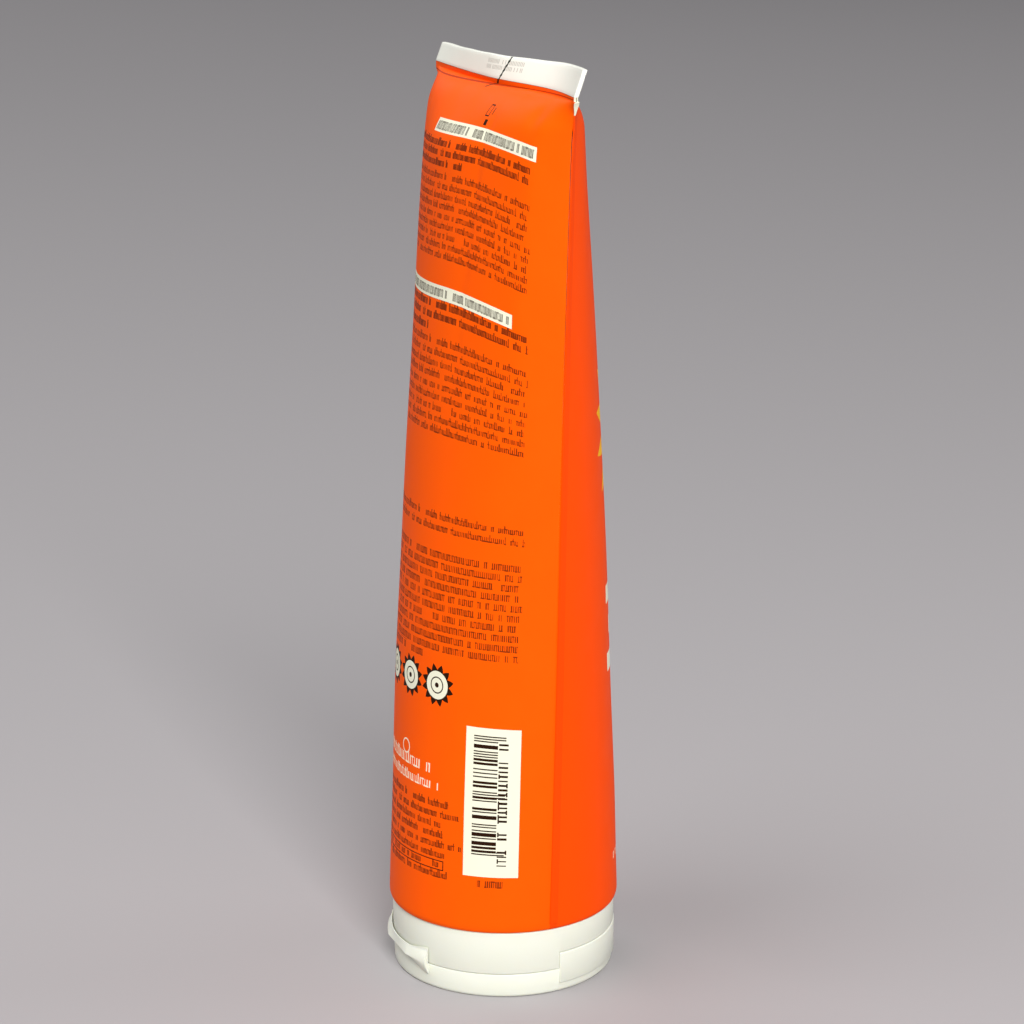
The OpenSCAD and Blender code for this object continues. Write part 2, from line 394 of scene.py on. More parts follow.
def flattened(s, z):
    """Share of its depth that the sheet loses under the crimp, most of it in the middle."""
    middle = math.sin(math.pi * s / half_round) ** 4
    return flat_share * middle * smooth_step(flat_low, flat_high, z)


def sheet_point(s, z, inset=0.0):
    """Place of a point of the sheet: s runs from the seam over the back and round to it."""
    side = 1 if s <= half_round else -1
    along = s if side > 0 else 2 * half_round - s
    a = half_angle(z)
    r = seal_w / a
    centre = r * math.cos(a)
    inner = r - inset
    inner_a = math.acos(min(1.0, centre / inner)) if inset else a
    b = inner_a * (2 * along / half_round - 1)
    push = relief(along, z, side > 0)
    x = (inner + push) * math.sin(b)
    y = (inner + push) * math.cos(b) - centre
    y -= flattened(along, z) * (r * math.cos(a * (2 * along / half_round - 1)) - centre)
    if not inset:
        # The pressed band keeps its thickness right up to its rounded ends.
        end = max(0.0, 1 - (seal_w - abs(x)) / 0.5)
        rounding = math.sqrt(max(0.0, 1 - end * end))
        press = press_half * smooth_step(seal_z - press_h, jaw_z, z) * rounding
        y = math.hypot(max(0.0, y), press)
    return crimped(x, side * y, z)


# %% [markdown]
# The sleeve is made as it is in the factory. A flat grid is the sheet, and each of its
# points is carried to where rolling and pressing put it. The rows run up the outside and
# back down the inside, so the sheet has its real wall of half a millimetre, and points
# lie closer together where it bends sharply: at the rolled bottom edge, the crimp and the
# two side folds. The sheet's own coordinates are kept as a UV map, for the print.

# %% Columns and rows of the sheet
straight_low = 16.5
straight_high = 178
straight_count = 96
pinch_reach = 13.1
pinch_count = 26
pinch_crowding = 1.7
middle_count = 84


def edge_inset(z):
    """The sleeve's bottom edge is rolled in over the shoulder of the head."""
    d = min(1.0, max(0.0, (sleeve_z + edge_h - z) / edge_h))
    return edge_in * (1 - math.sqrt(max(0.0, 1 - d * d)))


near_fold = [0.0, 0.18, 0.4, 0.7, 1.1, 1.6, 2.2, 2.9, 3.7]
middle_w = half_round - 2 * near_fold[-1]
half = near_fold + [near_fold[-1] + middle_w * k / middle_count for k in range(1, middle_count)]
half += [half_round - s for s in reversed(near_fold)]
columns = half + [2 * half_round - s for s in reversed(half[:-1])]

straight_step = (straight_high - straight_low) / straight_count
outer_rows = [sleeve_z + edge_h * (1 - math.cos(math.radians(a))) for a in range(0, 91, 15)]
outer_rows += [straight_low + straight_step * k for k in range(1, straight_count + 1)]
outer_rows += [
    jaw_z - pinch_reach * (1 - k / pinch_count) ** pinch_crowding for k in range(1, pinch_count + 1)
]
outer_rows += [jaw_z + 0.3, seal_z]
# The two walls part from each other at the first of these.
inner_rows = [191.0, 190.3, 189.6, 188.6, 187, 183, 176, 165, 150, 130]
inner_rows += [105, 80, 55, 35, 22, 17, 16, 15.2, sleeve_z]
path = [(z, edge_inset(z), 0.0) for z in outer_rows]
path += [(z, edge_inset(z), wall) for z in inner_rows]
path.append(path[0])
print("Sheet has", len(columns), "columns and", len(path), "rows")

# %% Sleeve mesh
sleeve = grid("printed_sleeve", len(columns) - 1, len(path) - 1)

sheet_height = 200.0
sag_depth = 7.0
sag_z = 152.0
sag_reach = 38.0
sag_width = 33.0


def keep_place(piece, places):
    """Keeps the place of each point on the flat sheet, as the piece's UV map."""
    layer = piece.data.uv_layers[0]
    layer.name = "sheet"
    for loop in piece.data.loops:
        layer.data[loop.index].uv = places[loop.vertex_index]


def sag(s, z):
    """The print sags a little beside the seam, because the sheet was pulled as it was pressed."""
    near = max(0.0, 1 - s / sag_width)
    at_crimp = smooth_step(184, 190, z)
    return sag_depth * math.exp(-(((z - sag_z) / sag_reach) ** 2)) * near**2 * (1 - at_crimp)


sheet_places = {}
for vertex in sleeve.data.vertices:
    column, row = cell(vertex, len(columns) - 1, len(path) - 1)
    s = columns[column]
    z, rolled, inset = path[row]
    x, y, z = sheet_point(s, z, inset)
    if row == len(outer_rows):
        x, y, z = crimped(x, 0.0, path[row][0])
    shrink = 1 - rolled / max(1.0, math.hypot(x, y))
    vertex.co = Vector((x * shrink, y * shrink, z)) * MM
    outside = row < len(outer_rows)
    height = z + sag(s, z) if outside else -sheet_height
    sheet_places[vertex.index] = (s / (2 * half_round), height / sheet_height)
keep_place(sleeve, sheet_places)
tidy_mesh(sleeve, 50)
settle(sleeve, "tube", "printed_sleeve", "tube_sleeve")


# %% [markdown]
# The two edges of the sheet overlap by under 2 mm and are welded. From outside this lap
# is one thin raised strip that runs the whole way down. At the crimp it starts right at the
# side fold, and near the cap it has drifted a little to the front. A narrow grid is carried
# to the sheet's place in the same way, a tenth of a millimetre higher.

# %% Side seam
lap_half = 0.8
lap_t = 0.1
lap_foot = -1.7
lap_top = -0.8
lap_low = 30.0
lap_high = 185.0
lap_columns = [-0.8, -0.76, -0.55, -0.3, 0.0, 0.3, 0.55, 0.76, 0.8]
lap_rows = [z for z in outer_rows if sleeve_z + edge_h <= z <= jaw_z]

lap = grid("lap_seam", len(lap_columns) - 1, len(lap_rows) - 1)
lap_places = {}
for vertex in lap.data.vertices:
    column, row = cell(vertex, len(lap_columns) - 1, len(lap_rows) - 1)
    offset = lap_columns[column]
    z = lap_rows[row]
    s = offset + lap_foot + (lap_top - lap_foot) * smooth_step(lap_low, lap_high, z)
    lap_places[vertex.index] = (1 + s / (2 * half_round), z / sheet_height)
    x, y, z = sheet_point(s % (2 * half_round), z)
    lift = lap_t if abs(offset) < lap_half else -0.02
    a = half_angle(z)
    slope = a * (1 - 2 * abs(s) / half_round)
    away = Vector((-math.sin(slope), math.copysign(math.cos(slope), s), 0))
    vertex.co = (Vector((x, y, z)) + away * lift) * MM
keep_place(lap, lap_places)
apply_modifier(lap, "SOLIDIFY", thickness=0.15 * MM, offset=-1)
tidy_mesh(lap, 40)
settle(lap, "tube", "printed_sleeve", "side_seam")


# %% [markdown]
# The last 5 mm of the sheet are left without print and pressed together by heated jaws.
# The band keeps the slight wave of the walls, leans to the front, and its cut top edge
# isn't quite straight. A cube is stretched to the band's size, cut into short lengths,
# and each cut is then carried sideways by the wave, and its upper points by the lean.

# %% Crimped band
band_h = 4.9
band_lean = math.radians(20.4)
band_trim = 0.7
band_cuts = 96
ragged_h = 0.06
upper_wave = 1.4

band = cube("crimped_band")
band.scale = (2 * seal_w * MM, 2 * press_half * MM, band_h * MM)
bpy.ops.object.transform_apply(location=False, rotation=False, scale=True)
bpy.ops.object.mode_set(mode="EDIT")
bpy.ops.mesh.select_all(action="SELECT")
bpy.ops.mesh.subdivide(number_cuts=5)
bpy.ops.object.mode_set(mode="OBJECT")
apply_modifier(band, "BEVEL", width=0.16 * MM, segments=2, limit_method="ANGLE")
take(band)
bpy.ops.object.mode_set(mode="EDIT")
for k in range(1, band_cuts):
    cut_x = (2 * k / band_cuts - 1) * seal_w * MM
    bpy.ops.mesh.select_all(action="SELECT")
    bpy.ops.mesh.bisect(plane_co=(cut_x, 0, 0), plane_no=(1, 0, 0))
bpy.ops.object.mode_set(mode="OBJECT")
for vertex in band.data.vertices:
    x, y, h = vertex.co / MM
    lift = h / band_h + 0.5
    h = lift * (band_h - band_trim * x / seal_w)
    trim = ragged_h * math.sin(x / 3.1) * math.sin(x / 7.7 + 1) * lift
    _, bend, low = crimped(x, 0.0, seal_z)
    y += bend * (1 + (upper_wave - 1) * lift) - h * math.sin(band_lean)
    vertex.co = Vector((x, y, low + h * math.cos(band_lean) + trim)) * MM
tidy_mesh(band, 40)
settle(band, "tube", "bare_sleeve", "crimp_seal")


# %% [markdown]
# The cap is one moulding of white polypropylene. Most of it is round, so its outline is
# drawn as a chain of points in the plane of the axis and spun. A real mould leaves no
# sharp edge, so a bevel of about 0.15 mm goes on every corner: that thin bright line
# along an edge is what makes moulded plastic look moulded.


# %% Helpers for the cap
def draw_outline(name, outline):
    """Starts from a plane shrunk to one point and extrudes it along (radius, height) points."""
    start_clean()
    bpy.ops.mesh.primitive_plane_add(size=MM, location=(0, 0, 0))
    piece = named(name)
    bpy.ops.object.mode_set(mode="EDIT")
    bpy.ops.mesh.select_all(action="SELECT")
    bpy.ops.mesh.merge(type="CENTER")
    r, z = outline[0]
    bpy.ops.transform.translate(value=(r * MM, 0, z * MM))
    for (r0, z0), (r1, z1) in zip(outline, outline[1:]):
        step = ((r1 - r0) * MM, 0, (z1 - z0) * MM)
        bpy.ops.mesh.extrude_region_move(TRANSFORM_OT_translate={"value": step})
    bpy.ops.object.mode_set(mode="OBJECT")
    return piece


def spun(name, outline, steps=180, arc=360.0, middle=0.0):
    """Spins an outline round the axis. A partial arc is centred on a bearing and its ends are closed."""
    closed = outline if outline[0][0] == 0 and outline[-1][0] == 0 else outline + [outline[0]]
    piece = draw_outline(name, closed)
    take(piece)
    bpy.ops.object.mode_set(mode="EDIT")
    if arc < 360:
        bpy.ops.mesh.select_all(action="SELECT")
        bpy.ops.mesh.remove_doubles(threshold=0.001 * MM)
        bpy.ops.mesh.edge_face_add()
    bpy.ops.mesh.select_all(action="SELECT")
    bpy.ops.mesh.spin(steps=steps, angle=math.radians(arc), center=(0, 0, 0), axis=(0, 0, 1))
    bpy.ops.mesh.select_all(action="SELECT")
    bpy.ops.mesh.remove_doubles(threshold=0.001 * MM)
    bpy.ops.mesh.normals_make_consistent(inside=False)
    bpy.ops.object.mode_set(mode="OBJECT")
    if arc < 360:
        # The spin runs clockwise as seen from above, so the arc ends at the bearing of +X.
        turn = math.radians(middle + arc / 2)
        c, s = math.cos(turn), math.sin(turn)
        for vertex in piece.data.vertices:
            x, y, z = vertex.co
            vertex.co = (x * c - y * s, x * s + y * c, z)
    return piece


def block(name, low, high):
    """A block between two corners, used only as a cutter."""
    piece = cube(name)
    for vertex in piece.data.vertices:
        vertex.co = [(a + (b - a) * (t + 0.5)) * MM for a, b, t in zip(low, high, vertex.co)]
    return piece


def carve(piece, tool, operation="DIFFERENCE"):
    apply_modifier(piece, "BOOLEAN", operation=operation, object=tool, solver="EXACT")
    bpy.data.objects.remove(tool)


def soften(piece, width=0.15, angle=35, segments=2):
    apply_modifier(
        piece,
        "BEVEL",
        width=width * MM,
        segments=segments,
        limit_method="ANGLE",
        angle_limit=math.radians(angle),
    )


# %% [markdown]
# The ring is the upper part of the cap, and the lid shuts against its lower edge. Inside
# that edge a rim goes down into the lid. At the back the ring is set in, because there
# the lid's wall stands higher, and on the far side a flat carries the living hinge.

# %% Cap ring
ring_r = 24.3
cap_h = 14.85
cap_wall = 1.3
lid_h = 5.5
gap = 0.2
rim_r = 22.6
core_r = 21.4
rim_z = 4.4
core_z = 10.4
panel_half = 81.5
panel_top = 8.95
hinge_z = 9.05
hinge_y = -23.5
flat_half_h = 2.9
rear = -90.0


def cut_flat(piece):
    """Cuts the flat on the far side that carries the living hinge."""
    low = (-ring_r, hinge_y - 4, hinge_z - flat_half_h)
    high = (ring_r, hinge_y, hinge_z + flat_half_h)
    carve(piece, block("flat", low, high))


ring = spun(
    "cap_ring",
    [
        (core_r, rim_z),
        (rim_r, rim_z),
        (rim_r, lid_h),
        (ring_r - 0.05, lid_h),
        (ring_r, cap_h - 0.25),
        (ring_r - 0.25, cap_h),
        (ring_r - cap_wall, cap_h),
        (ring_r - cap_wall, core_z),
        (core_r, core_z),
    ],
)
pocket = spun(
    "pocket",
    [
        (rim_r + 0.1, lid_h - 0.1),
        (ring_r + 2, lid_h - 0.1),
        (ring_r + 2, panel_top + gap),
        (rim_r + 0.1, panel_top + gap),
    ],
    steps=120,
    arc=2 * panel_half + 0.6,
    middle=rear,
)
carve(ring, pocket)
cut_flat(ring)
soften(ring)
tidy_mesh(ring)
settle(ring, "tube", "cap_plastic", "cap_ring")


# %% [markdown]
# The deck closes the cap inside, and the short spout under it is the nozzle that the
# lotion comes out of. They face the floor and show only when the lid is open. The nozzle
# has a rounded lip, and a low bead round it keeps drops from running outwards.

# %% Deck and spout
deck_z = 6.9
spout_r = 4.6
spout_z = 2.6
orifice_r = 2.75

deck = spun(
    "deck_and_spout",
    [
        (orifice_r, spout_z + 0.25),
        (orifice_r + 0.25, spout_z),
        (orifice_r + 0.9, spout_z),
        (spout_r - 0.55, spout_z + 0.45),
        (spout_r - 0.1, lid_h - 0.7),
        (spout_r + 0.5, lid_h),
        (9.2, lid_h),
        (9.45, lid_h - 0.35),
        (10.05, lid_h - 0.35),
        (10.3, lid_h),
        (core_r, lid_h),
        (core_r, deck_z),
        (orifice_r, deck_z),
    ],
    steps=144,
)
soften(deck, 0.12)
tidy_mesh(deck)
settle(deck, "tube", "cap_plastic", "cap_deck", "cap_spout")


# %% [markdown]
# The lid is a shallow dish that the tube stands on. Its foot is rounded, its underside is
# slightly hollow so that it can't rock, and a small round mark shows where the plastic
# entered the mould. At the back its wall rises into a panel that stands a little proud,
# which is why the parting line stops short of the back in the photograph.

# %% Lid
lid_r = 24.0
lid_top = 5.3
disc_t = 1.3
lid_mouth_r = 22.9
panel_r = 24.42
panel_z = 2.05

lid = spun(
    "lid",
    [
        (0, 0.12),
        (1.3, 0.12),
        (1.5, 0.35),
        (19.6, 0.35),
        (20.2, 0.0),
        (lid_r - 0.75, 0.0),
        (lid_r - 0.35, 0.1),
        (lid_r - 0.1, 0.35),
        (lid_r, 0.75),
        (ring_r - 0.08, lid_top - 0.3),
        (ring_r - 0.16, lid_top - 0.1),
        (ring_r - 0.38, lid_top),
        (lid_mouth_r, lid_top),
        (lid_mouth_r, disc_t + 0.4),
        (lid_mouth_r - 0.4, disc_t),
        (8.4, disc_t),
        (8.2, disc_t + 0.3),
        (7.8, disc_t + 0.3),
        (7.6, disc_t),
        (0, disc_t),
    ],
)
panel = spun(
    "panel",
    [
        (lid_mouth_r + 0.1, panel_z),
        (panel_r - 0.1, panel_z),
        (panel_r, panel_z + 0.15),
        (panel_r, panel_top - 0.2),
        (panel_r - 0.2, panel_top),
        (lid_mouth_r + 0.1, panel_top),
    ],
    steps=120,
    arc=2 * panel_half,
    middle=rear,
)
carve(lid, panel, "UNION")
cut_flat(lid)
soften(lid, 0.12)
tidy_mesh(lid)
settle(lid, "lid", "cap_plastic", "lid_disc", "lid_skirt")


# %% [markdown]
# The plug is a short thin-walled tube on the lid's inside. It slips into the nozzle and
# seals it, so its tip is tapered and rounded.

# %% Plug
plug_r = 2.25
plug_z = 4.5

plug = spun(
    "sealing_plug",
    [
        (plug_r - 0.9, disc_t - 0.05),
        (plug_r + 0.4, disc_t - 0.05),
        (plug_r + 0.12, disc_t + 0.3),
        (plug_r, plug_z - 0.6),
        (plug_r - 0.12, plug_z - 0.2),
        (plug_r - 0.4, plug_z),
        (plug_r - 0.7, plug_z - 0.05),
        (plug_r - 0.9, plug_z - 0.3),
    ],
    steps=72,
)
tidy_mesh(plug)
settle(plug, "lid", "cap_plastic", "lid_plug")


# %% [markdown]
# The living hinge is a thin web that joins ring and lid on the far side. It has a groove
# along its middle, and there it bends as the lid opens. The web is cut across at even
# heights into many short lengths.

# %% Hinge web
web_w = 12.0
web_t = 0.4
web_h = 2.8
web_cuts = 24
groove_t = 0.22
groove_half = 0.35

web = cube("hinge_web")
bpy.ops.object.mode_set(mode="EDIT")
for k in range(1, web_cuts):
    bpy.ops.mesh.select_all(action="SELECT")
    bpy.ops.mesh.bisect(plane_co=(0, 0, k / web_cuts - 0.5), plane_no=(0, 0, 1))
bpy.ops.object.mode_set(mode="OBJECT")
for vertex in web.data.vertices:
    x, y, z = vertex.co
    height = z * web_h
    groove = groove_t * math.exp(-((height / groove_half) ** 2))
    depth = hinge_y - web_t * (0.5 - y) + (groove if y < 0 else 0.0)
    vertex.co = Vector((x * web_w, depth, hinge_z + height)) * MM
soften(web, 0.05, 60, 1)
tidy_mesh(web, 30)
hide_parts("hinge_web")
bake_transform(web)


# %% [markdown]
# The thumb tab opens the lid. Seen from the front it is bow-tie shaped: low with one
# straight sharp edge in the middle, and taller and thicker at its two ends, where a rib
# stops the thumb from slipping. Its section changes all along, so a grid is rolled into a
# closed section at each bearing, and its two ends are filled.

# %% Thumb tab
tab_half = 27.5
tab_waist = 12.6
tab_edge = 24.95
tab_rib = 1.35
tab_low = -0.9
tab_high = 2.35
tab_edge_h = 0.35
# At its ends the tab reaches further down and up by these.
more_low = 1.7
more_high = 1.15
tab_root = ring_r - 0.2
tab_clear = ring_r + 0.25
tab_outer_steps = 26
tab_length_steps = 96


def tab_section(phi):
    """The closed section of the tab, as (radius, height) points, at a bearing from its middle."""
    e = smooth_step(tab_waist, tab_half, abs(phi))
    low = tab_low - more_low * e
    high = tab_high + more_high * e
    edge_v = (tab_edge_h - low) / (high - low)
    edge_r = tab_edge / math.cos(math.radians(min(abs(phi), tab_waist)))
    points = []
    for k in range(tab_outer_steps + 1):
        v = k / tab_outer_steps
        z = low + (high - low) * v
        skin = tab_root + (tab_clear + 0.15 - tab_root) * smooth_step(-0.1, 0.3, z)
        if v < edge_v:
            lip = tab_root + (edge_r - tab_root) * v / edge_v
        else:
            lip = edge_r + (tab_clear + 0.15 - edge_r) * (v - edge_v) / (1 - edge_v)
        rib = ring_r + tab_rib * math.sin(math.pi * v)
        points.append((max(skin + 0.02, lip * (1 - e) + rib * e), lid_h + z))
    points += [(tab_clear, lid_h + high), (tab_clear, lid_h + high * 0.5)]
    return points + [(tab_clear, lid_top), (tab_root, lid_top)]


tab_rows = len(tab_section(0))
tab = grid("thumb_tab", tab_length_steps, tab_rows)
for vertex in tab.data.vertices:
    column, row = cell(vertex, tab_length_steps, tab_rows)
    # Columns are closer together at the ribs.
    t = 2 * column / tab_length_steps - 1
    phi = tab_half * math.sin(math.pi / 2 * t)
    r, z = tab_section(phi)[row % tab_rows]
    a = math.radians(phi)
    vertex.co = Vector((r * math.sin(a), r * math.cos(a), z)) * MM
take(tab)
bpy.ops.object.mode_set(mode="EDIT")
bpy.ops.mesh.select_all(action="SELECT")
bpy.ops.mesh.remove_doubles(threshold=0.002 * MM)
bpy.ops.mesh.select_all(action="DESELECT")
bpy.ops.mesh.select_mode(type="EDGE")
bpy.ops.mesh.select_non_manifold()
bpy.ops.mesh.fill()
bpy.ops.object.mode_set(mode="OBJECT")
soften(tab, 0.12, 50)
tidy_mesh(tab, 40)
settle(tab, "lid", "cap_plastic", "thumb_tab")


# %% [markdown]
# The cap is injection-moulded polypropylene, a slightly cloudy white plastic. A little
# light enters it and comes out again nearby, which softens its shadows and warms them.
# The mould was spark-eroded, which leaves a very fine grain and a satin gloss. The real
# grain is under 0.1 mm and would vanish in the picture, so it is drawn at 0.35 mm.

# %% Cap plastic
cap_paint, tree, shader = material(
    "polypropylene, moulded satin",
    "#E9EBDC",
    0.38,
    ior=1.49,
    Subsurface_Weight=0.25,
    Subsurface_Scale=0.8 * MM,
    Specular_IOR_Level=0.45,
)
shader.inputs["Subsurface Radius"].default_value = (1.0, 0.85, 0.6)
roughen(tree, shader, size=0.35, depth=0.02, strength=0.25)
place = add(tree, "ShaderNodeTexCoord").outputs["Object"]
flow = add(tree, "ShaderNodeTexNoise", {"Vector": place, "Scale": 1 / (14 * MM), "Detail": 2.0})
gloss = add(
    tree,
    "ShaderNodeMapRange",
    {"Value": flow.outputs["Fac"], "From Min": 0.3, "From Max": 0.7, "To Min": 0.34, "To Max": 0.43},
)
tree.links.new(gloss.outputs["Result"], shader.inputs["Roughness"])
tone = {"Factor": flow.outputs["Fac"], "A": linear("#EAECDE"), "B": linear("#E6E8D8")}
tone = add(tree, "ShaderNodeMix", tone, data_type="RGBA")
tree.links.new(tone.outputs["Result"], shader.inputs["Base Color"])
nodes = frame["nodes"]
for piece in (ring, deck, lid, plug, web, tab, nodes["cap_collar"], nodes["cap_ribs"]):
    wear(piece, cap_paint)
print("Cap plastic is on")


# %% [markdown]
# The head of the tube is moulded polyethylene, duller and more waxy than the cap, and the
# lotion is a thick cream. Both are hidden, but they are there when the tube is cut open,
# and they get their own finish.

# %% Head and lotion
head_paint, tree, shader = material(
    "polyethylene, moulded matt", "#ECEAE1", 0.52, ior=1.51, Subsurface_Weight=0.3
)
shader.inputs["Subsurface Scale"].default_value = 1.2 * MM
roughen(tree, shader, size=0.8, depth=0.03, strength=0.3, detail=3.0)
wear(nodes["tube_shoulder"], head_paint)
wear(nodes["tube_neck"], head_paint)

cream_paint, tree, shader = material(
    "lotion, thick emulsion", "#F6EFD9", 0.3, ior=1.36, Subsurface_Weight=0.6, Coat_Weight=0.3
)
shader.inputs["Subsurface Scale"].default_value = 2.5 * MM
roughen(tree, shader, size=9, depth=0.5, strength=0.4, distortion=1.5)
wear(nodes["lotion_fill"], cream_paint)
print("Head and lotion are painted")


# %% [markdown]
# The sleeve is a laminate of plastic sheets, printed flat and coated with a matt varnish,
# so its colour is full and its highlights are broad and weak. The print is drawn in the
# shader in the sheet's own millimetres, from its UV map: the distance from the seam,
# over the back and round the front, and the height. A part of the print is 1 where there
# is ink and 0 elsewhere, so parts are joined by their maximum and cut by multiplying.

# %% Sheet coordinates
sheet_paint, inks, print_shader = material(
    "tube laminate, printed, matt varnish", "#FF5B00", 0.5, Specular_IOR_Level=0.06
)
sheet_map = add(inks, "ShaderNodeUVMap", uv_map="sheet")
sheet_mm = add(inks, VECTOR, [sheet_map, (2 * half_round, sheet_height, 0)], operation="MULTIPLY")
sheet_axes = add(inks, "ShaderNodeSeparateXYZ", [sheet_mm])
sheet_s = sheet_axes.outputs["X"]
sheet_h = sheet_axes.outputs["Y"]


def patch(s_low, s_high, h_low, h_high):
    """1 inside a rectangle of the sheet."""
    s_limits = [sheet_s, (s_low + s_high) / 2, (s_high - s_low) / 2]
    h_limits = [sheet_h, (h_low + h_high) / 2, (h_high - h_low) / 2]
    across = add(inks, MATH, s_limits, operation="COMPARE")
    up = add(inks, MATH, h_limits, operation="COMPARE")
    return add(inks, MATH, [across, up], operation="MULTIPLY")


def cut_out(part, hole):
    """A part of the print with another part taken out of it."""
    rest = add(inks, MATH, [1.0, hole], operation="SUBTRACT")
    return add(inks, MATH, [part, rest], operation="MULTIPLY")


def box_line(s_low, s_high, h_low, h_high, line):
    """A rectangle drawn with a thin line."""
    hole = patch(s_low + line, s_high - line, h_low + line, h_high - line)
    return cut_out(patch(s_low, s_high, h_low, h_high), hole)


def joined(*parts):
    """Several parts of the print as one."""
    whole = parts[0]
    for part in parts[1:]:
        whole = add(inks, MATH, [whole, part], operation="MAXIMUM")
    return whole


print("Print is laid out on", round(2 * half_round, 1), "by", sheet_height, "mm")


# %% [markdown]
# The small print on the back is fine type in several blocks. No words are drawn here.
# Rows of short upright and lying dashes stand for them, with gaps where words would end.
# A dash is about 0.3 mm wide, as a stem of such type is. White noise on the number of the
# row and of the dash decides which ones are tall, wide or missing.


# %% Dashes for small type
def dashes(dash_at, line, down, half_height, stem, tall):
    """Ink of one dash: dash_at counts dashes along the row, down runs 0 to 1 through the row."""
    cell = add(inks, MATH, [dash_at], operation="FLOOR")
    across = add(inks, MATH, [dash_at], operation="FRACT")
    pair_at = add(inks, MATH, [dash_at, 0.5], operation="MULTIPLY")
    pair = add(inks, MATH, [pair_at], operation="FLOOR")
    cell_seed = add(inks, "ShaderNodeCombineXYZ", {"X": cell, "Y": line, "Z": 3.0})
    pair_seed = add(inks, "ShaderNodeCombineXYZ", {"X": pair, "Y": line, "Z": 8.0})
    cell_noise = add(inks, "ShaderNodeTexWhiteNoise", {"Vector": cell_seed})
    pair_noise = add(inks, "ShaderNodeTexWhiteNoise", {"Vector": pair_seed})
    drawn = add(inks, "ShaderNodeSeparateColor", [cell_noise.outputs["Color"]])
    red, green, blue = drawn.outputs[:3]

    in_word = add(inks, MATH, [pair_noise.outputs["Value"], word_gap], operation="GREATER_THAN")
    spread = add(inks, MATH, [red, stem_range, stem_least], operation="MULTIPLY_ADD")
    half_stem = add(inks, MATH, [spread, stem], operation="MULTIPLY")
    stem_x = add(inks, MATH, [across, 0.5, half_stem], operation="COMPARE")
    is_tall = add(inks, MATH, [green, below_tall], operation="GREATER_THAN")
    extra = add(inks, MATH, [is_tall, tall], operation="MULTIPLY")
    reach = add(inks, MATH, [half_height, extra], operation="ADD")
    middle = add(inks, MATH, [row_middle, extra], operation="SUBTRACT")
    stem_y = add(inks, MATH, [down, middle, reach], operation="COMPARE")
    upright = add(inks, MATH, [stem_x, stem_y], operation="MULTIPLY")

    is_low = add(inks, MATH, [blue, 0.5], operation="GREATER_THAN")
    sign = add(inks, MATH, [is_low, 2 * lying_out, -lying_out], operation="MULTIPLY_ADD")
    lying_at = add(inks, MATH, [sign, half_height, row_middle], operation="MULTIPLY_ADD")
    lying_y = add(inks, MATH, [down, lying_at, lying_half], operation="COMPARE")
    has_lying = add(inks, MATH, [green, without_lying], operation="GREATER_THAN")
    lying = add(inks, MATH, [lying_y, has_lying], operation="MULTIPLY")
    return add(inks, MATH, [joined(upright, lying), in_word], operation="MULTIPLY")


row_middle = 0.52
word_gap = 0.17
stem_least = 0.6
stem_range = 0.8
below_tall = 0.8
without_lying = 0.4
lying_out = 0.85
lying_half = 0.065

# Each block of type: height of its first row, number of rows, distance of the rows, its right
# and left ends, width of a dash's cell, height of the dashes, half width of a stem as a share
# of the cell, extra height of tall ones, raggedness of the right end, and 1 for light ink.
type_blocks = [
    (182.5, 1, 2.6, 7.4, 46.2, 0.36, 1.6, 0.30, 0.0, 0.1, 0),
    (179.3, 2, 1.9, 7.6, 71.0, 0.42, 1.1, 0.40, 0.25, 0.8, 0),
    (175.3, 1, 1.9, 29.4, 71.0, 0.42, 1.1, 0.40, 0.25, 0.1, 0),
    (172.8, 9, 1.96, 7.3, 71.0, 0.42, 0.95, 0.27, 0.25, 0.8, 0),
    (149.75, 1, 2.9, 11.5, 55.4, 0.36, 1.6, 0.30, 0.0, 0.1, 0),
    (147.2, 2, 2.3, 7.1, 71.0, 0.44, 1.25, 0.40, 0.25, 0.8, 0),
    (142.4, 1, 2.3, 37.2, 71.0, 0.44, 1.25, 0.40, 0.25, 0.1, 0),
    (139.8, 9, 2.25, 7.0, 71.0, 0.42, 1.05, 0.27, 0.3, 0.8, 0),
    (104.1, 2, 2.4, 6.7, 71.0, 0.42, 1.05, 0.27, 0.3, 0.8, 0),
    (96.1, 10, 2.2, 7.0, 71.0, 0.46, 1.4, 0.25, 0.0, 1.0, 0),
    (74.2, 1, 2.2, 30.9, 71.0, 0.46, 1.4, 0.25, 0.0, 0.1, 0),
    (49.8, 1, 3.0, 27.4, 52.0, 0.85, 2.0, 0.20, 0.3, 0.1, 1),
    (46.2, 1, 2.6, 24.9, 54.0, 0.75, 1.6, 0.20, 0.3, 0.1, 1),
    (42.3, 8, 2.24, 18.6, 60.0, 0.42, 1.1, 0.32, 0.28, 6.0, 0),
    (26.2, 1, 2.4, 9.6, 15.1, 0.45, 1.5, 0.27, 0.0, 0.1, 0),
    (25.6, 1, 2.6, 101.0, 134.0, 0.55, 1.5, 0.30, 0.0, 0.1, 1),
]

